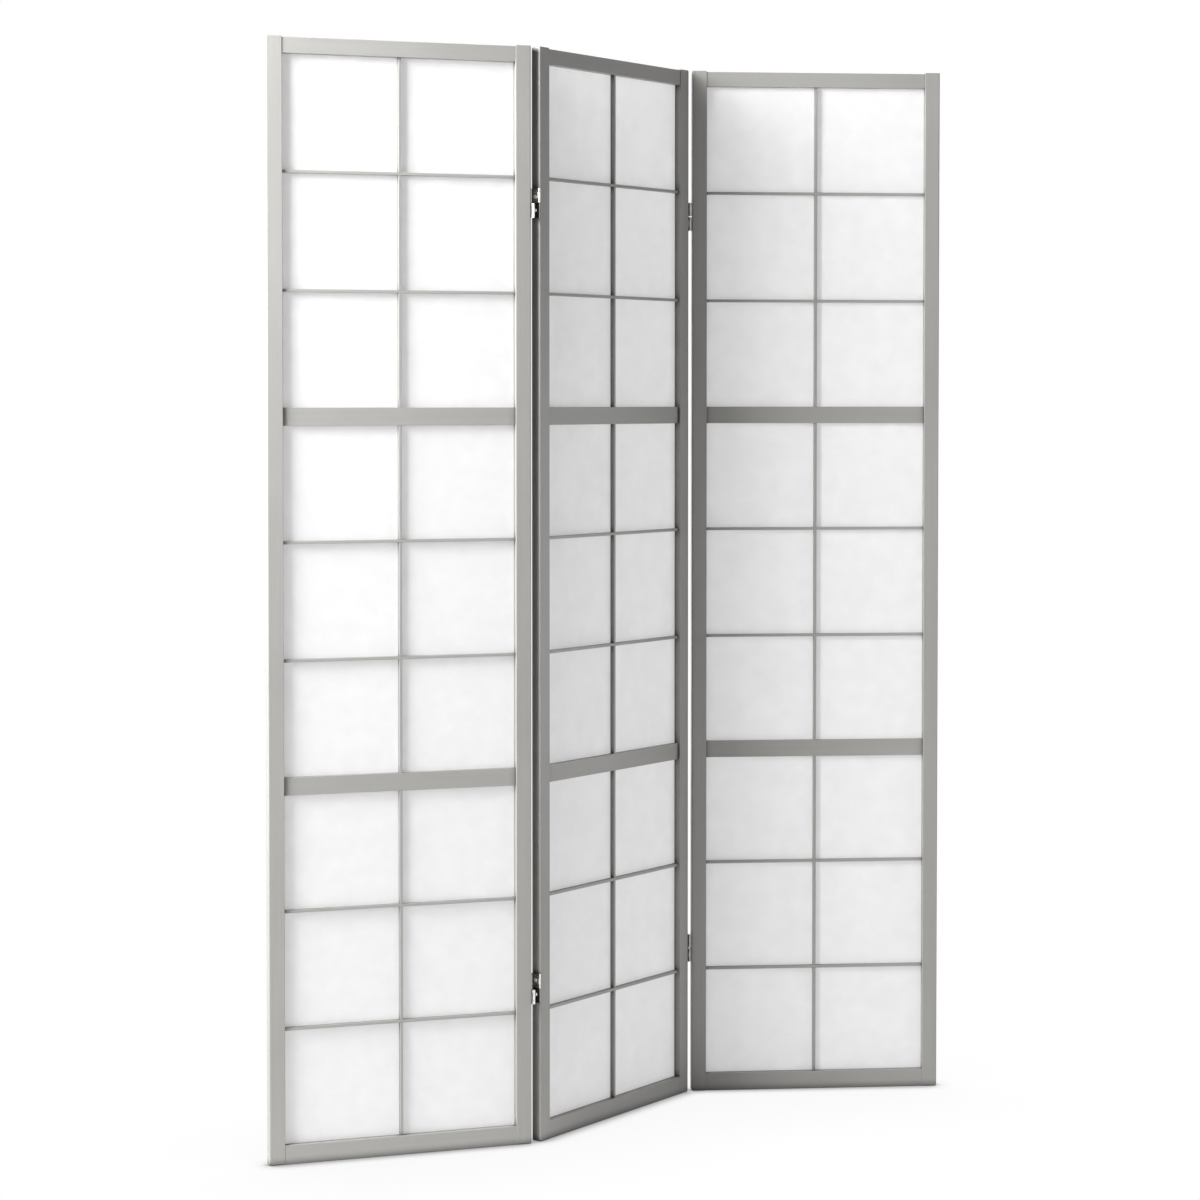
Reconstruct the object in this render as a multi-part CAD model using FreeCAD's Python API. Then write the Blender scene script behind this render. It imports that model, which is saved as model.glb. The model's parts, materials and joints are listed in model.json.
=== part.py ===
import FreeCAD, Part
import math
import os

# Three-panel folding screen in millimetres: +Z up, the front faces look toward -Y.
# The origin is on the floor, at the centre of the screen's bounding box as it stands.
# Each panel is made in a frame of its own: x from its left edge, y from its front face
# to its back face, z from the floor. Each hinge is made with its two panels in line.

os.makedirs("parts", exist_ok=True)

# Frame of one panel
panel_width = 438.0
panel_height = 1790.0
panel_depth = 18.0
stile_width = 26.0
top_rail_height = 25.3
bottom_rail_height = 31.0
top_rail_drop = 2.0
top_rail_setback = 1.0
bottom_rail_setback = 0.3
bottom_rail_floor_gap = 0.5

# Lattice
mid_rail_height = 28.8
muntin_face = 4.8
lattice_setback = 4.5
rows_per_bay = 3
bay_count = 3

# Paper and the rebate that takes its edge
paper_thickness = 0.4
rebate_width = 5.0
rebate_depth = 6.0
paper_edge_gap = 0.5

# Rounding
outer_edge_radius = 2.2
inner_edge_radius = 0.8
foot_corner_radius = 4.0
top_corner_radius = 1.5
lattice_edge_radius = 0.6

# Double-acting hinges
panel_gap = 7.0
hinge_height = 48.0
hinge_end_distance = 254.0
leaf_thickness = 0.8
leaf_margin = 1.0
axis_offset = 0.4
knuckle_radius = 2.3
knuckle_length = 6.0
knuckle_play = 0.25
web_thickness = 2.0
halves_gap = 2.0
link_thickness = 1.2
link_clearance = 0.5
pin_radius = 1.2
pin_running_fit = 0.05
pin_head_radius = 1.8
pin_head_height = 0.5
screw_spacing = 22.0
screw_radius = 1.4
screw_length = 14.0
screw_hole_fit = 0.02
screw_hole_bottom_gap = 1.0
leaf_hole_fit = 0.1
screw_head_radius = 2.9
screw_head_rim = 0.4
screw_head_dome = 0.8
recess_width = 0.8
recess_span = 3.4
recess_depth = 0.7

# The screen as it stands, in degrees: turn of the left panel, then the fold at each joint
left_yaw = 19.2
left_fold = 35.5
right_fold = 49.5

# Sizes that follow from the ones above
opening_width = panel_width - 2 * stile_width
top_rail_top = panel_height - top_rail_drop
top_rail_bottom = top_rail_top - top_rail_height
lattice_back = panel_depth - rebate_depth
lattice_depth = lattice_back - lattice_setback
open_height = top_rail_bottom - bottom_rail_height - (bay_count - 1) * mid_rail_height
bay_height = open_height / bay_count
pane_height = (bay_height - (rows_per_bay - 1) * muntin_face) / rows_per_bay
front_axis = -axis_offset
back_axis = panel_depth + axis_offset
hinge_centres = (hinge_end_distance, panel_height - hinge_end_distance)


def box(x_range, y_range, z_range):
    corner = FreeCAD.Vector(x_range[0], y_range[0], z_range[0])
    return Part.makeBox(
        x_range[1] - x_range[0], y_range[1] - y_range[0], z_range[1] - z_range[0], corner
    )


def upright_cylinder(radius, x, y, z_range):
    return Part.makeCylinder(radius, z_range[1] - z_range[0], FreeCAD.Vector(x, y, z_range[0]))


def edges_where(shape, test):
    found = []
    for edge in shape.Edges:
        ends = [vertex.Point for vertex in edge.Vertexes]
        if len(ends) == 2 and test(ends[0]) and test(ends[1]):
            found.append(edge)
    return found


def near(value, target):
    return abs(value - target) < 0.01


def bay_floor(bay):
    return bottom_rail_height + bay * (bay_height + mid_rail_height)


def muntin_floors(bay):
    pitch = pane_height + muntin_face
    return [bay_floor(bay) + row * pitch - muntin_face for row in range(1, rows_per_bay)]


# ---- Frame ----

def left_stile():
    stile = box((0, stile_width), (0, panel_depth), (0, panel_height))
    foot_edge = edges_where(stile, lambda p: near(p.x, 0) and near(p.z, 0))
    stile = stile.makeFillet(foot_corner_radius, foot_edge)
    top_edge = edges_where(stile, lambda p: near(p.x, 0) and near(p.z, panel_height))
    stile = stile.makeFillet(top_corner_radius, top_edge)
    inner = edges_where(stile, lambda p: near(p.x, stile_width))
    upright = [edge for edge in inner if near(edge.Length, panel_height)]
    stile = stile.makeFillet(inner_edge_radius, upright)
    corner_reach = max(foot_corner_radius, top_corner_radius) + 0.01
    front = edges_where(stile, lambda p: near(p.y, 0) and p.x <= corner_reach)
    back = edges_where(stile, lambda p: near(p.y, panel_depth) and p.x <= corner_reach)
    stile = stile.makeFillet(outer_edge_radius, front + back)
    rebate = box(
        (stile_width - rebate_width, stile_width + 1),
        (lattice_back, panel_depth + 1),
        (bottom_rail_height - rebate_width, top_rail_bottom + rebate_width),
    )
    return stile.cut(rebate)


def mirrored(shape):
    centre = FreeCAD.Vector(panel_width / 2, 0, 0)
    return shape.mirror(centre, FreeCAD.Vector(1, 0, 0))


def stile_screw_holes(side):
    holes = []
    for centre in hinge_centres:
        for offset in (-screw_spacing / 2, screw_spacing / 2):
            start = FreeCAD.Vector(0, panel_depth / 2, centre + offset)
            direction = FreeCAD.Vector(1, 0, 0)
            if side == "right":
                start.x = panel_width
                direction = FreeCAD.Vector(-1, 0, 0)
            length = screw_length + screw_hole_bottom_gap
            holes.append(Part.makeCylinder(screw_radius + screw_hole_fit, length, start, direction))
    return holes


def stile(side, hinged):
    shape = left_stile()
    if side == "right":
        shape = mirrored(shape)
    if hinged:
        for hole in stile_screw_holes(side):
            shape = shape.cut(hole)
    return shape


def rail(setback, z_range, edge_radius):
    x_range = (stile_width, panel_width - stile_width)
    shape = box(x_range, (setback, panel_depth - setback), z_range)
    long_edges = [edge for edge in shape.Edges if near(edge.Length, opening_width)]
    return shape.makeFillet(edge_radius, long_edges)


def bottom_rail():
    z_range = (bottom_rail_floor_gap, bottom_rail_height)
    shape = rail(bottom_rail_setback, z_range, inner_edge_radius)
    rebate = box(
        (0, panel_width),
        (lattice_back, panel_depth + 1),
        (bottom_rail_height - rebate_width, bottom_rail_height + 1),
    )
    return shape.cut(rebate)


def top_rail():
    shape = rail(top_rail_setback, (top_rail_bottom, top_rail_top), inner_edge_radius)
    rebate = box(
        (0, panel_width),
        (lattice_back, panel_depth + 1),
        (top_rail_bottom - 1, top_rail_bottom + rebate_width),
    )
    return shape.cut(rebate)


# ---- Lattice and paper ----

def lattice_bar(x_range, z_range):
    shape = box(x_range, (lattice_setback, lattice_back), z_range)
    length = max(x_range[1] - x_range[0], z_range[1] - z_range[0])
    front = [
        edge
        for edge in edges_where(shape, lambda p: near(p.y, lattice_setback))
        if near(edge.Length, length)
    ]
    return shape.makeFillet(lattice_edge_radius, front)


def mid_rail(number):
    z = bay_floor(number) - mid_rail_height
    return lattice_bar((stile_width, panel_width - stile_width), (z, z + mid_rail_height))


def lap_depth():
    return lattice_setback + lattice_depth / 2


def horizontal_muntin(z):
    bar = lattice_bar((stile_width, panel_width - stile_width), (z, z + muntin_face))
    middle = panel_width / 2
    notch = box(
        (middle - muntin_face / 2, middle + muntin_face / 2),
        (lap_depth(), lattice_back + 1),
        (z - 1, z + muntin_face + 1),
    )
    return bar.cut(notch)


def vertical_muntin(bay):
    middle = panel_width / 2
    x_range = (middle - muntin_face / 2, middle + muntin_face / 2)
    bar = lattice_bar(x_range, (bay_floor(bay), bay_floor(bay) + bay_height))
    for z in muntin_floors(bay):
        notch = box(
            (x_range[0] - 1, x_range[1] + 1), (lattice_setback - 1, lap_depth()), (z, z + muntin_face)
        )
        bar = bar.cut(notch)
    return bar


def paper():
    reach = rebate_width - paper_edge_gap
    return box(
        (stile_width - reach, panel_width - stile_width + reach),
        (lattice_back, lattice_back + paper_thickness),
        (bottom_rail_height - reach, top_rail_bottom + reach),
    )


# ---- Hinges, made with both panels in line: x = 0 is the middle of the gap ----

def half_range(half):
    if half == "lower":
        return (-hinge_height / 2, -halves_gap / 2)
    return (halves_gap / 2, hinge_height / 2)


def leaf_knuckle(y, half, web_direction):
    z_low, z_high = half_range(half)
    web_y = sorted((y, y + web_direction * web_thickness))
    shapes = []
    for z_range in ((z_low, z_low + knuckle_length), (z_high - knuckle_length, z_high)):
        barrel = upright_cylinder(knuckle_radius, 0, y, z_range)
        web = box((-panel_gap / 2, 0), web_y, z_range)
        shapes.append(barrel.fuse(web))
    return shapes


def left_leaf():
    edge = -panel_gap / 2
    leaf = box(
        (edge, edge + leaf_thickness),
        (leaf_margin, panel_depth - leaf_margin),
        (-hinge_height / 2, hinge_height / 2),
    )
    for piece in leaf_knuckle(front_axis, "lower", 1) + leaf_knuckle(back_axis, "upper", -1):
        leaf = leaf.fuse(piece)
    z_range = (-hinge_height, hinge_height)
    for y in (front_axis, back_axis):
        leaf = leaf.cut(upright_cylinder(pin_radius + pin_running_fit, 0, y, z_range))
    for z in (-screw_spacing / 2, screw_spacing / 2):
        start = FreeCAD.Vector(edge - 1, panel_depth / 2, z)
        hole = Part.makeCylinder(
            screw_radius + leaf_hole_fit, leaf_thickness + 2, start, FreeCAD.Vector(1, 0, 0)
        )
        leaf = leaf.cut(hole)
    return leaf.removeSplitter()


def turned(shape):
    copy = shape.copy()
    copy.rotate(FreeCAD.Vector(0, panel_depth / 2, 0), FreeCAD.Vector(0, 0, 1), 180)
    return copy


def link(half):
    z_low, z_high = half_range(half)
    middle = (z_low + knuckle_length + knuckle_play, z_high - knuckle_length - knuckle_play)
    reach = knuckle_radius + link_clearance
    x_range = (-link_thickness / 2, link_thickness / 2)
    strip = box(x_range, (front_axis, back_axis), middle)
    strip = strip.fuse(box(x_range, (front_axis + reach, back_axis - reach), (z_low, z_high)))
    for y in (front_axis, back_axis):
        strip = strip.fuse(upright_cylinder(knuckle_radius, 0, y, middle))
    for y in (front_axis, back_axis):
        hole = upright_cylinder(pin_radius + pin_running_fit, 0, y, (z_low - 1, z_high + 1))
        strip = strip.cut(hole)
    return strip.removeSplitter()


def pin(y, half):
    z_low, z_high = half_range(half)
    shape = upright_cylinder(pin_radius, 0, y, (z_low, z_high))
    shape = shape.fuse(upright_cylinder(pin_head_radius, 0, y, (z_low - pin_head_height, z_low)))
    shape = shape.fuse(upright_cylinder(pin_head_radius, 0, y, (z_high, z_high + pin_head_height)))
    return shape.removeSplitter()


def screw_head():
    # Pan head on +X with a cross recess, seated at x = 0.
    dome_radius = (screw_head_radius ** 2 + screw_head_dome ** 2) / (2 * screw_head_dome)
    rim = Part.makeCylinder(
        screw_head_radius, screw_head_rim, FreeCAD.Vector(0, 0, 0), FreeCAD.Vector(1, 0, 0)
    )
    ball_centre = screw_head_rim + screw_head_dome - dome_radius
    ball = Part.makeSphere(dome_radius, FreeCAD.Vector(ball_centre, 0, 0))
    cap_span = (-2 * screw_head_radius, 2 * screw_head_radius)
    cap = ball.common(box((screw_head_rim, screw_head_rim + screw_head_dome + 1), cap_span, cap_span))
    head = rim.fuse(cap)
    top = screw_head_rim + screw_head_dome
    arm = (-recess_span / 2, recess_span / 2)
    slot = (-recess_width / 2, recess_width / 2)
    head = head.cut(box((top - recess_depth, top + 1), arm, slot))
    return head.cut(box((top - recess_depth, top + 1), slot, arm))


def left_screw(z):
    head = screw_head()
    shank_start = FreeCAD.Vector(-screw_length, 0, 0)
    shank = Part.makeCylinder(screw_radius, screw_length, shank_start, FreeCAD.Vector(1, 0, 0))
    screw = head.fuse(shank)
    screw.translate(FreeCAD.Vector(-panel_gap / 2 + leaf_thickness, panel_depth / 2, z))
    return screw.removeSplitter()


def left_pins():
    return [pin(front_axis, "lower"), pin(back_axis, "upper")]


def left_screws():
    return [left_screw(-screw_spacing / 2), left_screw(screw_spacing / 2)]


# ---- Placement of the panels ----

def placement_about(yaw, base):
    return FreeCAD.Placement(base, FreeCAD.Rotation(FreeCAD.Vector(0, 0, 1), yaw))


def next_placement(placement, yaw, axis_y):
    # The next panel to the right turns about the pin row at axis_y.
    axis_point = placement.multVec(FreeCAD.Vector(panel_width + panel_gap / 2, axis_y, 0))
    turn = FreeCAD.Rotation(FreeCAD.Vector(0, 0, 1), yaw)
    base = axis_point - turn.multVec(FreeCAD.Vector(-panel_gap / 2, axis_y, 0))
    return FreeCAD.Placement(base, turn)


left_placement = placement_about(left_yaw, FreeCAD.Vector(0, 0, 0))
middle_placement = next_placement(left_placement, left_yaw + left_fold, back_axis)
right_placement = next_placement(middle_placement, left_yaw + left_fold - right_fold, front_axis)

nodes = {}


def place(name, shapes, placement):
    solids = []
    for shape in shapes:
        for solid in shape.Solids:
            copy = solid.copy()
            copy.Placement = placement.multiply(copy.Placement)
            solids.append(copy)
    nodes[name] = solids


def place_panel(panel, placement, hinged_sides):
    for side in ("left", "right"):
        place(panel + "_" + side + "_stile", [stile(side, side in hinged_sides)], placement)
    place(panel + "_top_rail", [top_rail()], placement)
    place(panel + "_bottom_rail", [bottom_rail()], placement)
    place(panel + "_lower_mid_rail", [mid_rail(1)], placement)
    place(panel + "_upper_mid_rail", [mid_rail(2)], placement)
    number = 0
    for bay in range(bay_count):
        for z in muntin_floors(bay):
            number += 1
            place(panel + "_cross_muntin_" + str(number), [horizontal_muntin(z)], placement)
    verticals = [vertical_muntin(bay) for bay in range(bay_count)]
    place(panel + "_upright_muntins", verticals, placement)
    place(panel + "_paper", [paper()], placement)


def at_heights(shapes, panel_x):
    # Hinge pieces in a panel's own frame, once for each hinge of the joint.
    moved = []
    for centre in hinge_centres:
        for shape in shapes:
            copy = shape.copy()
            copy.translate(FreeCAD.Vector(panel_x, 0, centre))
            moved.append(copy)
    return moved


def place_joint(joint, left_panel, right_panel, lower_link_side):
    left_x = panel_width + panel_gap / 2
    right_x = -panel_gap / 2
    leaf = left_leaf()
    right_pins = [turned(shape) for shape in left_pins()]
    right_screws = [turned(shape) for shape in left_screws()]
    place(joint + "_left_leaves", at_heights([leaf], left_x), left_panel)
    place(joint + "_right_leaves", at_heights([turned(leaf)], right_x), right_panel)
    place(joint + "_left_pins", at_heights(left_pins(), left_x), left_panel)
    place(joint + "_right_pins", at_heights(right_pins, right_x), right_panel)
    place(joint + "_left_screws", at_heights(left_screws(), left_x), left_panel)
    place(joint + "_right_screws", at_heights(right_screws, right_x), right_panel)
    # One link lies along each panel's edge: which one depends on the pin row in use.
    if lower_link_side == "left":
        place(joint + "_lower_links", at_heights([link("lower")], left_x), left_panel)
        place(joint + "_upper_links", at_heights([link("upper")], right_x), right_panel)
    else:
        place(joint + "_lower_links", at_heights([link("lower")], right_x), right_panel)
        place(joint + "_upper_links", at_heights([link("upper")], left_x), left_panel)


place_panel("left_panel", left_placement, ("right",))
place_panel("middle_panel", middle_placement, ("left", "right"))
place_panel("right_panel", right_placement, ("left",))
place_joint("left_joint", left_placement, middle_placement, "left")
place_joint("right_joint", middle_placement, right_placement, "right")

# Move the origin to the middle of the footprint, on the floor.
bounds = FreeCAD.BoundBox()
for solids in nodes.values():
    for solid in solids:
        bounds.add(solid.optimalBoundingBox(False, False))
shift = FreeCAD.Vector(-bounds.Center.x, -bounds.Center.y, -bounds.ZMin)

for name, solids in nodes.items():
    for solid in solids:
        solid.translate(shift)
    shape = solids[0] if len(solids) == 1 else Part.makeCompound(solids)
    shape.exportStep("parts/" + name + ".step")

left_axis = middle_placement.multVec(FreeCAD.Vector(-panel_gap / 2, back_axis, 0)) + shift
right_axis = middle_placement.multVec(FreeCAD.Vector(panel_width + panel_gap / 2, front_axis, 0)) + shift
print("nodes", len(nodes))
print("size", round(bounds.XLength, 3), round(bounds.YLength, 3), round(bounds.ZLength, 3))
print("left joint axis", round(left_axis.x, 4), round(left_axis.y, 4))
print("right joint axis", round(right_axis.x, 4), round(right_axis.y, 4))
print("left panel corner", round(shift.x, 4), round(shift.y, 4))
print("pane height", round(pane_height, 3))
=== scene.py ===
import json
import math
import bmesh
import bpy
from mathutils import Matrix, Vector, noise


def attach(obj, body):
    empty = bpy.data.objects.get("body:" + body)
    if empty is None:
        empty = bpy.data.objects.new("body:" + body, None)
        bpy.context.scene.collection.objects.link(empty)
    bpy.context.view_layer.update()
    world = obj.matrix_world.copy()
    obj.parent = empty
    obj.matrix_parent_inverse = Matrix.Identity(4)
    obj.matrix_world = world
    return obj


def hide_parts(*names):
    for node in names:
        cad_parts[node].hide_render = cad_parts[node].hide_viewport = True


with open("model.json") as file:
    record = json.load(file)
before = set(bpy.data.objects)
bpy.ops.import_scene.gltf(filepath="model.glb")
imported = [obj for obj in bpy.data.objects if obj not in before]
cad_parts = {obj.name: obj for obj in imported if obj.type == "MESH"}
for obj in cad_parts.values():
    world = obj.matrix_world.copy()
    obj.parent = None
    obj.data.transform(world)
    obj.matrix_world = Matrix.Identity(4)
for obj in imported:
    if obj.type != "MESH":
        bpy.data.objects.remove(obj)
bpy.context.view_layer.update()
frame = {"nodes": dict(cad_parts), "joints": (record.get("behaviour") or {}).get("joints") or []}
nodes = frame["nodes"]
print("frame loaded:", len(nodes), "nodes")

mm = 0.001

# one panel in mm: x from its left edge, y from its front face, z from the floor
panelSizes = {"width": 438.0, "depth": 18.0, "height": 1790.0, "gap": 7.0, "axisOffset": 0.4,
              "stile": 26.0, "topRail": 25.3, "topDrop": 2.0, "bottomRail": 31.0, "midRail": 28.8,
              "muntin": 4.8, "rows": 3, "bays": 3, "latticeBack": 12.0}
panelTurns = {"left_panel": 19.2, "middle_panel": 54.7, "right_panel": 5.2}  # about Z, in degrees

jointPlaces = {joint["name"]: Vector(joint["pos_m"]) for joint in frame["joints"]}


# where a panel's own x, y, z lie in the world, found from the pin row that it turns on
def panelMatrix(panel):
    turn = Matrix.Rotation(math.radians(panelTurns[panel]), 4, "Z")
    reach = panelSizes["width"] + panelSizes["gap"] / 2
    near = -panelSizes["gap"] / 2
    back = panelSizes["depth"] + panelSizes["axisOffset"]
    front = -panelSizes["axisOffset"]
    anchors = {"left_panel": ("left_fold", reach, back), "middle_panel": ("left_fold", near, back),
               "right_panel": ("right_fold", near, front)}
    joint, x, y = anchors[panel]
    place = jointPlaces[joint].copy()
    place.z = 0
    return Matrix.Translation(place - turn @ Vector((x * mm, y * mm, 0))) @ turn


panelPlaces = {panel: panelMatrix(panel) for panel in panelTurns}
nodeStep = 200  # how far apart nodes stand in the node editor


# a node with its settings, and with its inputs given as sockets or as plain values
def addNode(tree, kind, inputs=None, **settings):
    node = tree.nodes.new(kind)
    node.location = (len(tree.nodes) * nodeStep, 0)
    for key, value in settings.items():
        setattr(node, key, value)
    for label, value in (inputs or {}).items():
        if isinstance(value, bpy.types.NodeSocket):
            tree.links.new(value, node.inputs[label])
        else:
            node.inputs[label].default_value = value
    return node


# a Math node whose operands are sockets or numbers
def sums(tree, operation, *values):
    return addNode(tree, "ShaderNodeMath", dict(enumerate(values)), operation=operation).outputs[0]


def newMaterial(name):
    material = bpy.data.materials.new(name)
    material.use_nodes = True
    tree = material.node_tree
    tree.nodes.clear()
    return material, tree


def finished(tree, surface):
    addNode(tree, "ShaderNodeOutputMaterial", {"Surface": surface})


# object coordinates turned so that X runs along the panel, as they are and stretched
def panelCoordinates(tree, panel, scale, slide=(0, 0, 0)):
    coordinates = addNode(tree, "ShaderNodeTexCoord")
    turned = addNode(tree, "ShaderNodeMapping", {
        "Vector": coordinates.outputs["Object"], "Rotation": (0, 0, -math.radians(panelTurns[panel]))})
    stretched = addNode(tree, "ShaderNodeMapping", {
        "Vector": turned.outputs["Vector"], "Scale": scale, "Location": slide})
    return turned.outputs["Vector"], stretched.outputs["Vector"]


def noiseOn(tree, vector, settings):
    return addNode(tree, "ShaderNodeTexNoise", {"Vector": vector, **settings}).outputs["Fac"]


# two patterns added, the first with the given share of the whole
def blended(tree, first, second, share):
    return sums(tree, "MULTIPLY_ADD", first, share, sums(tree, "MULTIPLY", second, 1 - share))


# a value taken from one range to another
def ranged(tree, value, source, target=(0.0, 1.0)):
    return addNode(tree, "ShaderNodeMapRange", {
        "Value": value, "From Min": source[0], "From Max": source[1],
        "To Min": target[0], "To Max": target[1]}).outputs["Result"]


# a pattern turned into two colours and what lies between them
def twoColours(tree, pattern, places, colours):
    ramp = addNode(tree, "ShaderNodeValToRGB", {"Fac": pattern})
    for number in (0, 1):
        ramp.color_ramp.elements[number].position = places[number]
        ramp.color_ramp.elements[number].color = (*colours[number], 1)
    return ramp.outputs["Color"]


# a colour that goes over to another one where share is 1
def tinted(tree, share, colour, other):
    return addNode(tree, "ShaderNodeMix", {"Factor": share, "A": colour, "B": (*other, 1)},
                   data_type="RGBA").outputs["Result"]


# small relief from a pattern, over the relief already there
def bumped(tree, height, bump, under=None):
    inputs = {"Height": height, "Strength": bump["strength"], "Distance": bump["depth"] * mm}
    if under:
        inputs["Normal"] = under
    return addNode(tree, "ShaderNodeBump", inputs).outputs["Normal"]


hollowSamples = 6


# 0 in the open and 1 deep in a hollow, for painted shade in recesses and creases and painted shadow on the
# floor
def hollows(tree, hollow):
    near = addNode(tree, "ShaderNodeAmbientOcclusion", {"Distance": hollow["reach"] * mm},
                   samples=hollowSamples)
    return ranged(tree, near.outputs["AO"], hollow["openToClosed"])


lacquerLook = {
    "pale": (0.391, 0.384, 0.368), "deep": (0.351, 0.344, 0.328), "toneRange": (0.30, 0.70),
    "acrossGrain": 230, "alongGrain": 5, "slideSteps": (1.7, 0.9, 2.3), "grainShare": 0.55,
    "grain": {"Scale": 1.0, "Detail": 6, "Roughness": 0.62, "Distortion": 0.35},
    "cloud": {"Scale": 7, "Detail": 3}, "peel": {"Scale": 620, "Detail": 2},
    "edge": (0.445, 0.437, 0.418), "edgeRadius": 1.1, "edgeSamples": 4, "edgeRange": (0.995, 0.80),
    # edge colours pale wear; dark, with hollow and seam, is painted shade in recesses and the creases between
    # parts
    "edgeWear": (0.0, 0.55), "dark": (0.062, 0.059, 0.055),
    "hollow": {"reach": 14, "openToClosed": (0.96, 0.40)},
    "seam": {"reach": 1.8, "openToClosed": (0.94, 0.60)},
    "roughness": (0.34, 0.48), "specular": 0.42, "coat": 0.12, "coatRoughness": 0.3,
    "grainBump": {"strength": 0.06, "depth": 0.3}, "peelBump": {"strength": 0.05, "depth": 0.15}}


# how far the lacquer is rubbed pale along edges
def edgeWear(tree):
    look = lacquerLook
    soft = addNode(tree, "ShaderNodeBevel", {"Radius": look["edgeRadius"] * mm},
                   samples=look["edgeSamples"])
    shape = addNode(tree, "ShaderNodeNewGeometry")
    match = addNode(tree, "ShaderNodeVectorMath", {0: soft.outputs["Normal"], 1: shape.outputs["Normal"]},
                    operation="DOT_PRODUCT")
    return ranged(tree, match.outputs["Value"], look["edgeRange"], look["edgeWear"])


# satin grey lacquer over wood whose grain runs up ("z") or along the panel ("x"), with painted shade in its
# recesses and creases
def lacquer(panel, run, slide):
    look = lacquerLook
    material, tree = newMaterial("greyLacquer_" + panel + "_" + run + "_" + str(slide))
    across, along = look["acrossGrain"], look["alongGrain"]
    scale = (across, across, along) if run == "z" else (along, across, across)
    slides = tuple(slide * step for step in look["slideSteps"])
    plain, stretched = panelCoordinates(tree, panel, scale, slides)
    grain = noiseOn(tree, stretched, look["grain"])
    tone = blended(tree, grain, noiseOn(tree, plain, look["cloud"]), look["grainShare"])
    clean = twoColours(tree, tone, look["toneRange"], (look["deep"], look["pale"]))
    worn = tinted(tree, edgeWear(tree), clean, look["edge"])
    # painted shade: recesses and the creases between parts are darkened toward the dark colour
    shade = sums(tree, "MAXIMUM", hollows(tree, look["hollow"]), hollows(tree, look["seam"]))
    relief = bumped(tree, grain, look["grainBump"])
    relief = bumped(tree, noiseOn(tree, plain, look["peel"]), look["peelBump"], relief)
    shader = addNode(tree, "ShaderNodeBsdfPrincipled", {
        "Base Color": tinted(tree, shade, worn, look["dark"]),
        "Roughness": ranged(tree, tone, look["toneRange"], look["roughness"]),
        "Specular IOR Level": look["specular"], "Coat Weight": look["coat"],
        "Coat Roughness": look["coatRoughness"], "Normal": relief})
    finished(tree, shader.outputs["BSDF"])
    return material


paperLook = {
    "pale": (0.896, 0.894, 0.896), "deep": (0.856, 0.854, 0.857), "toneRange": (0.34, 0.66),
    "fibreStretch": (60, 60, 900), "pulp": {"Scale": 38, "Detail": 5}, "pulpShare": 0.6,
    "fibre": {"Scale": 1.0, "Detail": 4, "Distortion": 2.2}, "bump": {"strength": 0.12, "depth": 0.12},
    "roughness": 0.82, "specular": 0.25, "through": 0.56}


# translucent fibre paper: what it doesn't send back comes through
def paperMaterial(panel):
    look = paperLook
    material, tree = newMaterial("fibrePaper_" + panel)
    plain, stretched = panelCoordinates(tree, panel, look["fibreStretch"])
    pulp = noiseOn(tree, plain, look["pulp"])
    tone = blended(tree, pulp, noiseOn(tree, stretched, look["fibre"]), look["pulpShare"])
    colour = twoColours(tree, tone, look["toneRange"], (look["deep"], look["pale"]))
    front = addNode(tree, "ShaderNodeBsdfPrincipled", {
        "Base Color": colour, "Roughness": look["roughness"], "Specular IOR Level": look["specular"],
        "Normal": bumped(tree, tone, look["bump"])})
    through = addNode(tree, "ShaderNodeBsdfTranslucent", {"Color": colour})
    both = addNode(tree, "ShaderNodeMixShader", {
        "Fac": look["through"], 1: front.outputs["BSDF"], 2: through.outputs["BSDF"]})
    finished(tree, both.outputs["Shader"])
    return material


nickelLook = {
    "bright": (0.86, 0.845, 0.82), "hazy": (0.70, 0.685, 0.66), "toneRange": (0.25, 0.6),
    "haze": {"Scale": 160}, "hazeRange": (0.3, 0.75), "roughness": (0.13, 0.30),
    "dragStretch": (900, 900, 120), "drag": {"Scale": 1.0, "Detail": 4},
    # the colour and range for faces flat against a panel's edge are painted shade and dark reflection; dark
    # and hollow are painted shade in the hinge's hollows
    "dragBump": {"strength": 0.08, "depth": 0.05}, "flatShade": (0.075, 0.073, 0.070),
    "flatRange": (0.90, 0.99), "dark": (0.012, 0.012, 0.012),
    "hollow": {"reach": 2.5, "openToClosed": (0.85, 0.35)}}


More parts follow.
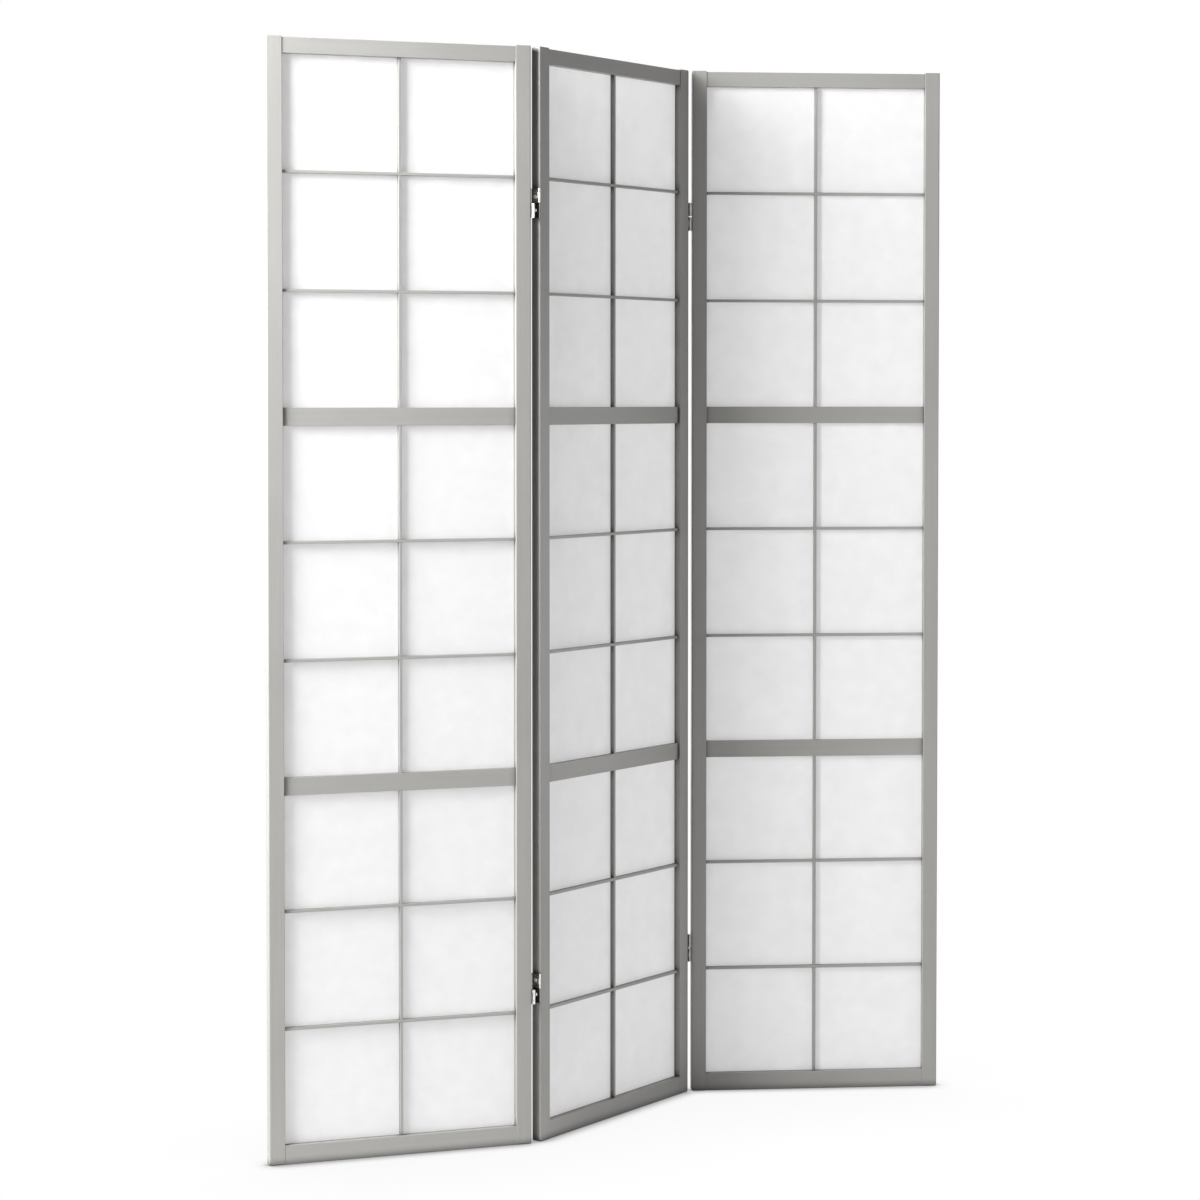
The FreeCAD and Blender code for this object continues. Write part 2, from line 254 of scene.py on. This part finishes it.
# polished nickel at a level of brightness, where a level below 1 is painted shade and dark reflection; given
# a panel, faces that lie against its edge are darkened as painted shade and dark reflection; hollows get
# painted shade
def nickel(name, level, panel=None):
    look = nickelLook
    material, tree = newMaterial(name)
    coordinates = addNode(tree, "ShaderNodeTexCoord").outputs
    stretched = addNode(tree, "ShaderNodeMapping", {
        "Vector": coordinates["Object"], "Scale": look["dragStretch"]})
    drag = noiseOn(tree, stretched.outputs["Vector"], look["drag"])
    haze = noiseOn(tree, coordinates["Object"], look["haze"])
    tones = [[level * part for part in look[tone]] for tone in ("hazy", "bright")]
    colour = twoColours(tree, haze, look["toneRange"], tones)
    if panel:
        turn = math.radians(panelTurns[panel])
        across = addNode(tree, "ShaderNodeVectorMath", {
            0: coordinates["Normal"], 1: (math.cos(turn), math.sin(turn), 0)}, operation="DOT_PRODUCT")
        flatShade = ranged(tree, sums(tree, "ABSOLUTE", across.outputs["Value"]), look["flatRange"])
        colour = tinted(tree, flatShade, colour, look["flatShade"])
    shader = addNode(tree, "ShaderNodeBsdfPrincipled", {
        # painted shade: the hinge's hollows are darkened toward the dark colour
        "Base Color": tinted(tree, hollows(tree, look["hollow"]), colour, look["dark"]),
        "Metallic": 1.0, "Roughness": ranged(tree, haze, look["hazeRange"], look["roughness"]),
        "Normal": bumped(tree, drag, look["dragBump"])})
    finished(tree, shader.outputs["BSDF"])
    return material


# the CAD nodes of frame, lattice and hinges keep their shape and get their finish
def dress(name, material):
    piece = nodes[name]
    piece.data.materials.clear()
    piece.data.materials.append(material)


for panel in panelTurns:
    looks = {key: lacquer(panel, run, slide) for key, run, slide in
             (("leftStile", "z", 1), ("rightStile", "z", 2), ("topRail", "x", 3), ("bottomRail", "x", 4),
              ("crossBars", "x", 5), ("uprightBars", "z", 6))}
    dress(panel + "_left_stile", looks["leftStile"])
    dress(panel + "_right_stile", looks["rightStile"])
    dress(panel + "_top_rail", looks["topRail"])
    dress(panel + "_bottom_rail", looks["bottomRail"])
    for name in nodes:
        if name.startswith(panel) and ("mid_rail" in name or "cross_muntin" in name):
            dress(name, looks["crossBars"])
    dress(panel + "_upright_muntins", looks["uprightBars"])
print("frames and lattices finished")


paperSheet = {"rebate": 5.0, "edgeGap": 0.5, "thickness": 0.3, "lift": 0.03, "billow": 0.22,
              "stepsPerPane": 12, "crown": 0.7, "waveWidth": 90, "waveHeight": 70,
              "seeds": {"left_panel": 3.0, "middle_panel": 17.0, "right_panel": 41.0}}


# the panes' left and right ends, then their lower and upper ends, in mm
def paneEnds():
    s = panelSizes
    columns = [(s["stile"], s["width"] / 2), (s["width"] / 2, s["width"] - s["stile"])]
    top = s["height"] - s["topDrop"] - s["topRail"]
    bay = (top - s["bottomRail"] - (s["bays"] - 1) * s["midRail"]) / s["bays"]
    pane = (bay - (s["rows"] - 1) * s["muntin"]) / s["rows"]
    rows = []
    for number in range(s["bays"]):
        bayStart = s["bottomRail"] + number * (bay + s["midRail"])
        for row in range(s["rows"]):
            start = bayStart + row * (pane + s["muntin"])
            rows.append((start, start + pane))
    return columns, rows


columns, rows = paneEnds()
paperReach = paperSheet["rebate"] - paperSheet["edgeGap"]


# places from one pane's end to the other, both among them
def evenSteps(low, high):
    count = paperSheet["stepsPerPane"]
    return [low + (high - low) * step / count for step in range(count + 1)]


# 0 where the paper is glued to a bar, and 1 in the middle of a pane
def slack(value, panes):
    for low, high in panes:
        if low < value < high:
            return math.sin(math.pi * (value - low) / (high - low)) ** paperSheet["crown"]
    return 0.0


# a closed sheet that lies on the lattice's back and swells a little in each pane
def paperMesh(panel):
    p, seed = paperSheet, paperSheet["seeds"][panel]
    xs = [columns[0][0] - paperReach, *evenSteps(*columns[0])[:-1], *evenSteps(*columns[1]),
          columns[1][1] + paperReach]
    zs = [rows[0][0] - paperReach, *[z for pane in rows for z in evenSteps(*pane)],
          rows[-1][1] + paperReach]
    mesh = bmesh.new()
    layers = []
    for offset in (p["lift"], p["lift"] + p["thickness"]):
        layer = []
        for z in zs:
            line = []
            for x in xs:
                wave = 0.5 + 0.5 * noise.noise(Vector((x / p["waveWidth"] + seed, z / p["waveHeight"], seed)))
                fall = p["billow"] * wave * slack(x, columns) * slack(z, rows)
                place = Vector((x, panelSizes["latticeBack"] + offset + fall, z)) * mm
                line.append(mesh.verts.new(panelPlaces[panel] @ place))
            layer.append(line)
        layers.append(layer)
    front, back = layers
    lastRow, lastColumn = len(zs) - 1, len(xs) - 1
    for i in range(lastRow):
        for j in range(lastColumn):
            mesh.faces.new((front[i][j], front[i][j + 1], front[i + 1][j + 1], front[i + 1][j]))
            mesh.faces.new((back[i][j], back[i + 1][j], back[i + 1][j + 1], back[i][j + 1]))
    rim = [(0, j) for j in range(lastColumn)] + [(i, lastColumn) for i in range(lastRow)]
    rim += [(lastRow, j) for j in range(lastColumn, 0, -1)] + [(i, 0) for i in range(lastRow, 0, -1)]
    for (i, j), (nextI, nextJ) in zip(rim, rim[1:] + rim[:1]):
        mesh.faces.new((front[i][j], back[i][j], back[nextI][nextJ], front[nextI][nextJ]))
    bmesh.ops.recalc_face_normals(mesh, faces=mesh.faces)
    return mesh


def newPiece(name, mesh, material, smooth=True):
    data = bpy.data.meshes.new(name)
    mesh.to_mesh(data)
    mesh.free()
    data.materials.append(material)
    data.polygons.foreach_set("use_smooth", [smooth] * len(data.polygons))
    piece = bpy.data.objects.new(name, data)
    bpy.context.scene.collection.objects.link(piece)
    return piece


for panel in panelTurns:
    sheet = newPiece(panel + "_paperSheet", paperMesh(panel), paperMaterial(panel))
    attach(sheet, panel)
    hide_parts(panel + "_paper")
    edges = [panel + end for end in ("_left_stile", "_right_stile", "_top_rail", "_bottom_rail")]
print("paper sheets laid behind the lattices")

# the right joint's hinges get a duller nickel as painted shade and dark reflection; leaves get painted shade
# and dark reflection along their panel's edge
jointShadeLevels = {"left_joint": 1.0, "right_joint": 0.42}
leafPanels = {"left_joint_left_leaves": "left_panel", "left_joint_right_leaves": "middle_panel",
              "right_joint_left_leaves": "middle_panel", "right_joint_right_leaves": "right_panel"}
nickelBright = nickel("nickelBright", 1.0)
for joint, level in jointShadeLevels.items():
    plain = nickel("nickel_" + joint, level)
    for name in nodes:
        if name.startswith(joint):
            dress(name, nickel("nickel_" + name, level, leafPanels[name]) if name in leafPanels else plain)


# hinges in mm: heights above the floor, screws above and below the middle, and where a half begins and ends
hingePlaces = {"heights": (254.0, 1536.0), "screwSpread": 11.0, "leafFace": 0.8, "half": (1.0, 24.0)}
screwSizes = {"headRadius": 2.9, "rimHeight": 0.4, "domeHeight": 0.8, "slotWidth": 0.8, "slotSpan": 3.4,
              "slotDepth": 0.7, "shankRadius": 1.4, "shankLength": 14.0}
pinSizes = {"radius": 1.2, "length": 23.0, "headRadius": 1.8, "headHeight": 0.5}

# each tree's named inputs, with the size that each is set to
screwInputs = {"Head Radius": "headRadius", "Rim Height": "rimHeight", "Dome Height": "domeHeight",
               "Slot Width": "slotWidth", "Slot Span": "slotSpan", "Slot Depth": "slotDepth",
               "Shank Radius": "shankRadius", "Shank Length": "shankLength"}
pinInputs = {"Radius": "radius", "Length": "length", "Head Radius": "headRadius",
             "Head Height": "headHeight"}

# how rounds are divided, how stems reach into their heads, and the seeds of the spin
fastenerMake = {"discSides": 28, "discRings": 6, "shankSides": 20, "pinSides": 24, "shankCentre": -0.4999,
                "pinExtra": 0.1, "pinRimShare": 0.55, "screwSeed": 7, "pinSeed": 11}


def newTree(name, labels):
    tree = bpy.data.node_groups.new(name, "GeometryNodeTree")
    tree.is_modifier = True
    tree.interface.new_socket("Geometry", in_out="INPUT", socket_type="NodeSocketGeometry")
    tree.interface.new_socket("Geometry", in_out="OUTPUT", socket_type="NodeSocketGeometry")
    for label in labels:
        tree.interface.new_socket(label, in_out="INPUT", socket_type="NodeSocketFloat")
    tree.interface.new_socket("Finish", in_out="INPUT", socket_type="NodeSocketMaterial")
    return tree, addNode(tree, "NodeGroupInput").outputs


def vector(tree, x=0.0, y=0.0, z=0.0):
    return addNode(tree, "ShaderNodeCombineXYZ", {0: x, 1: y, 2: z}).outputs[0]


def raised(tree, geometry, height):
    return addNode(tree, "GeometryNodeTransform", {
        "Geometry": geometry, "Translation": vector(tree, z=height)}).outputs["Geometry"]


# a closed disc whose lower face is at base and whose top swells by dome
def domedDisc(tree, radius, rim, dome, base):
    disc = addNode(tree, "GeometryNodeMeshCylinder", {
        "Vertices": fastenerMake["discSides"], "Side Segments": 1, "Fill Segments": fastenerMake["discRings"],
        "Radius": radius, "Depth": rim}, fill_type="TRIANGLE_FAN")
    where = addNode(tree, "GeometryNodeInputPosition")
    x, y, z = addNode(tree, "ShaderNodeSeparateXYZ", {0: where.outputs[0]}).outputs
    squared = sums(tree, "ADD", sums(tree, "MULTIPLY", x, x), sums(tree, "MULTIPLY", y, y))
    share = sums(tree, "DIVIDE", squared, sums(tree, "MULTIPLY", radius, radius))
    swell = sums(tree, "MULTIPLY", sums(tree, "SUBTRACT", 1.0, share), dome)
    upper = sums(tree, "GREATER_THAN", z, 0.0)
    rise = sums(tree, "ADD", sums(tree, "MULTIPLY", swell, upper), sums(tree, "MULTIPLY", rim, 0.5))
    lift = addNode(tree, "GeometryNodeSetPosition", {
        "Geometry": disc.outputs["Mesh"], "Offset": vector(tree, z=sums(tree, "ADD", rise, base))})
    return lift.outputs["Geometry"]


def rod(tree, radius, length, middle, sides):
    stem = addNode(tree, "GeometryNodeMeshCylinder", {
        "Vertices": sides, "Radius": radius, "Depth": length}, fill_type="TRIANGLE_FAN")
    return raised(tree, stem.outputs["Mesh"], middle)


# one arm of the cross that is cut into a head, from top down to depth
def slotBar(tree, along, across, depth, top):
    size = vector(tree, along, across, sums(tree, "MULTIPLY", depth, 2.0))
    return raised(tree, addNode(tree, "GeometryNodeMeshCube", {"Size": size}).outputs["Mesh"], top)


def joined(tree, *pieces):
    node = addNode(tree, "GeometryNodeJoinGeometry")
    for piece in pieces:
        tree.links.new(piece, node.inputs["Geometry"])
    return node.outputs["Geometry"]


# one piece on each point, turned to the point's facing and spun by chance
def setOut(tree, given, piece, seed):
    facing = addNode(tree, "GeometryNodeInputNamedAttribute", {"Name": "facing"},
                     data_type="FLOAT_VECTOR")
    aim = addNode(tree, "FunctionNodeAlignRotationToVector", {"Vector": facing.outputs["Attribute"]},
                  axis="Z")
    spin = addNode(tree, "FunctionNodeRandomValue", {"Max": math.pi, "Seed": seed}, data_type="FLOAT")
    turn = addNode(tree, "FunctionNodeAxisAngleToRotation", {
        "Axis": (0, 0, 1), "Angle": spin.outputs["Value"]})
    spun = addNode(tree, "FunctionNodeRotateRotation", {
        "Rotation": aim.outputs["Rotation"], "Rotate By": turn.outputs["Rotation"]},
        rotation_space="LOCAL")
    points = addNode(tree, "GeometryNodeInstanceOnPoints", {
        "Points": given["Geometry"], "Instance": piece, "Rotation": spun.outputs["Rotation"]})
    real = addNode(tree, "GeometryNodeRealizeInstances", {"Geometry": points.outputs["Instances"]})
    finish = addNode(tree, "GeometryNodeSetMaterial", {
        "Geometry": real.outputs["Geometry"], "Material": given["Finish"]})
    addNode(tree, "NodeGroupOutput", {"Geometry": finish.outputs["Geometry"]})


def screwTree():
    tree, given = newTree("panHeadScrews", screwInputs)
    top = sums(tree, "ADD", given["Rim Height"], given["Dome Height"])
    head = domedDisc(tree, given["Head Radius"], given["Rim Height"], given["Dome Height"], 0.0)
    cut = addNode(tree, "GeometryNodeMeshBoolean", {"Mesh 1": head}, operation="DIFFERENCE", solver="EXACT")
    for along, across in (("Slot Span", "Slot Width"), ("Slot Width", "Slot Span")):
        bar = slotBar(tree, given[along], given[across], given["Slot Depth"], top)
        tree.links.new(bar, cut.inputs["Mesh 2"])
    middle = sums(tree, "MULTIPLY", given["Shank Length"], fastenerMake["shankCentre"])
    shank = rod(tree, given["Shank Radius"], given["Shank Length"], middle, fastenerMake["shankSides"])
    setOut(tree, given, joined(tree, cut.outputs["Mesh"], shank), fastenerMake["screwSeed"])
    return tree


def pinTree():
    tree, given = newTree("hingePins", pinInputs)
    half = sums(tree, "MULTIPLY", given["Length"], 0.5)
    rim = sums(tree, "MULTIPLY", given["Head Height"], fastenerMake["pinRimShare"])
    dome = sums(tree, "MULTIPLY", given["Head Height"], 1 - fastenerMake["pinRimShare"])
    upper = domedDisc(tree, given["Head Radius"], rim, dome, half)
    lower = addNode(tree, "GeometryNodeTransform", {"Geometry": upper, "Rotation": (math.pi, 0, 0)})
    length = sums(tree, "ADD", given["Length"], fastenerMake["pinExtra"] * mm)
    stem = rod(tree, given["Radius"], length, 0.0, fastenerMake["pinSides"])
    setOut(tree, given, joined(tree, upper, lower.outputs["Geometry"], stem), fastenerMake["pinSeed"])
    return tree


# runs the tree on the places and keeps its plain mesh
def fastened(name, tree, places, values):
    points = bpy.data.meshes.new(name + "_points")
    points.from_pydata([tuple(place) for place, facing in places], [], [])
    facings = points.attributes.new("facing", "FLOAT_VECTOR", "POINT")
    for number, (place, facing) in enumerate(places):
        facings.data[number].vector = facing
    carrier = bpy.data.objects.new(name + "_carrier", points)
    bpy.context.scene.collection.objects.link(carrier)
    maker = carrier.modifiers.new("maker", "NODES")
    maker.node_group = tree
    for item in tree.interface.items_tree:
        if item.item_type == "SOCKET" and item.in_out == "INPUT" and item.name in values:
            maker[item.identifier] = values[item.name]
    bpy.context.view_layer.update()
    seen = carrier.evaluated_get(bpy.context.evaluated_depsgraph_get())
    data = bpy.data.meshes.new_from_object(seen)
    carrier.modifiers.remove(maker)
    bpy.data.objects.remove(carrier)
    data.name = name
    data.shade_smooth()
    piece = bpy.data.objects.new(name, data)
    bpy.context.scene.collection.objects.link(piece)
    return piece


# screw seats with the way they face, and pin middles, on one edge of a panel
def hingeSpots(panel, side):
    place = panelPlaces[panel]
    s, h = panelSizes, hingePlaces
    sign = 1 if side == "right" else -1
    edge = s["width"] if side == "right" else 0.0
    outward = place.to_3x3() @ Vector((sign, 0, 0))
    middle = edge + sign * s["gap"] / 2
    frontRow, backRow = -s["axisOffset"], s["depth"] + s["axisOffset"]
    screws, pins = [], []
    for height in h["heights"]:
        for up in (-1, 1):
            seat = Vector((edge + sign * h["leafFace"], s["depth"] / 2, height + up * h["screwSpread"]))
            screws.append((place @ (seat * mm), outward))
            row = frontRow if (up < 0) == (side == "right") else backRow
            centre = Vector((middle, row, height + up * sum(h["half"]) / 2))
            pins.append((place @ (centre * mm), Vector((0, 0, 1))))
    return screws, pins


# which edge of each panel carries a hinge leaf, and the nodes its fasteners stand for
hingedEdges = {"left_panel": [("right", "left_joint_left")],
               "middle_panel": [("left", "left_joint_right"), ("right", "right_joint_left")],
               "right_panel": [("left", "right_joint_right")]}

screwMaker, pinMaker = screwTree(), pinTree()
for panel, edges in hingedEdges.items():
    screws, pins = [], []
    for side, start in edges:
        moreScrews, morePins = hingeSpots(panel, side)
        screws += moreScrews
        pins += morePins
    for label, tree, spots, sizes, inputs in (("screws", screwMaker, screws, screwSizes, screwInputs),
                                              ("pins", pinMaker, pins, pinSizes, pinInputs)):
        values = {socket: sizes[key] * mm for socket, key in inputs.items()}
        values["Finish"] = nickelBright
        piece = fastened(panel + "_" + label, tree, spots, values)
        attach(piece, panel)
        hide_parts(*[start + "_" + label for side, start in edges])
print("screws and pins set out")

# the slight tilt keeps the shift small, so that views from other sides still hold the whole screen
cameraPlace = {"x": -0.0456, "y": -4.9991, "height": 1.2196, "turn": -0.141, "tilt": 1.85, "lens": 89.69,
               "sensor": 36, "shift": -0.0877, "farthest": 200}

camera = bpy.data.objects.new("camera", bpy.data.cameras.new("camera"))
camera.data.lens = cameraPlace["lens"]
camera.data.sensor_width = cameraPlace["sensor"]
camera.data.shift_y = cameraPlace["shift"]
camera.data.clip_end = cameraPlace["farthest"]
camera.location = (cameraPlace["x"], cameraPlace["y"], cameraPlace["height"])
camera.rotation_euler = (math.radians(90 - cameraPlace["tilt"]), 0, math.radians(cameraPlace["turn"]))
bpy.context.scene.collection.objects.link(camera)
bpy.context.scene.camera = camera


# 1 for the camera's rays and for mirror and glass rays, 0 for light on its way
def whereSeen(tree):
    path = addNode(tree, "ShaderNodeLightPath").outputs
    sharp = sums(tree, "MAXIMUM", path["Is Glossy Ray"], path["Is Transmission Ray"])
    return sums(tree, "MAXIMUM", path["Is Camera Ray"], sharp)


# painted shadow close to what stands on the floor, and the faint painted shadow around it
floorLook = {"size": 12.0, "colour": (0.86, 0.86, 0.86),
             "shade": {"reach": 36, "openToClosed": (0.87, 0.46), "strength": 0.64},
             "halo": {"reach": 400, "openToClosed": (1.0, 0.5), "strength": 0.06}}


# the floor is white where it is looked at, with the object's soft shadow painted into that white from its
# hollows, and sends light back like pale card
def layFloor():
    look = floorLook
    mesh = bmesh.new()
    half = look["size"] / 2
    corners = [mesh.verts.new((x * half, y * half, 0)) for x, y in ((-1, -1), (1, -1), (1, 1), (-1, 1))]
    mesh.faces.new(corners)
    material, tree = newMaterial("paleFloor")
    # painted shadow: the floor's white is darkened where the object's hollows close it in
    paintedShadows = [sums(tree, "MULTIPLY_ADD", hollows(tree, look[part]), -look[part]["strength"], 1.0)
            for part in ("shade", "halo")]
    white = addNode(tree, "ShaderNodeEmission", {"Strength": sums(tree, "MULTIPLY", *paintedShadows)})
    card = addNode(tree, "ShaderNodeBsdfDiffuse", {"Color": (*look["colour"], 1)})
    choose = addNode(tree, "ShaderNodeMixShader", {
        "Fac": whereSeen(tree), 1: card.outputs["BSDF"], 2: white.outputs["Emission"]})
    finished(tree, choose.outputs["Shader"])
    material.cycles.emission_sampling = "NONE"
    floor = newPiece("floor", mesh, material, smooth=False)


layFloor()

lightLevels = {"world": 0.05, "backdrop": 1.0}
lamps = {
    "keyHigh": {"place": (-1.5, -1.1, 2.3), "aim": (-0.4, -0.1, 1.4), "size": (0.8, 0.8), "power": 67},
    "keyMiddle": {"place": (-1.7, -1.5, 2.0), "aim": (-0.4, -0.1, 1.2), "size": (1.0, 1.0), "power": 22},
    "leftWall": {"place": (-3.6, -2.4, 1.6), "aim": (-0.1, 0.0, 1.0), "size": (2.4, 2.4), "power": 150},
    "rightWall": {"place": (3.2, 0.2, 0.7), "aim": (0.0, 0.0, 0.7), "size": (2.4, 1.2), "power": 22},
    "behind": {"place": (0.2, 3.4, 1.4), "aim": (0.1, 0.0, 0.9), "size": (4.0, 2.6), "power": 50},
}


# the world is a white backdrop where it is looked at, and hardly lights the screen
def lightWorld():
    world = bpy.data.worlds.new("studio")
    bpy.context.scene.world = world
    world.use_nodes = True
    world.cycles.sampling_method = "NONE"
    tree = world.node_tree
    tree.nodes.clear()
    level = ranged(tree, whereSeen(tree), (0.0, 1.0), (lightLevels["world"], lightLevels["backdrop"]))
    background = addNode(tree, "ShaderNodeBackground", {"Color": (1, 1, 1, 1), "Strength": level})
    addNode(tree, "ShaderNodeOutputWorld", {"Surface": background.outputs["Background"]})


def hangLamp(name, values):
    lamp = bpy.data.lights.new(name, "AREA")
    lamp.shape = "RECTANGLE"
    lamp.size, lamp.size_y = values["size"]
    lamp.energy = values["power"]
    holder = bpy.data.objects.new(name, lamp)
    holder.location = values["place"]
    aim = Vector(values["aim"]) - Vector(values["place"])
    holder.rotation_euler = aim.to_track_quat("-Z", "Y").to_euler()
    holder.visible_camera = False
    bpy.context.scene.collection.objects.link(holder)


lightWorld()
for name, values in lamps.items():
    hangLamp(name, values)

bpy.context.scene.view_settings.view_transform = "Standard"
print("camera, floor and lamps set")
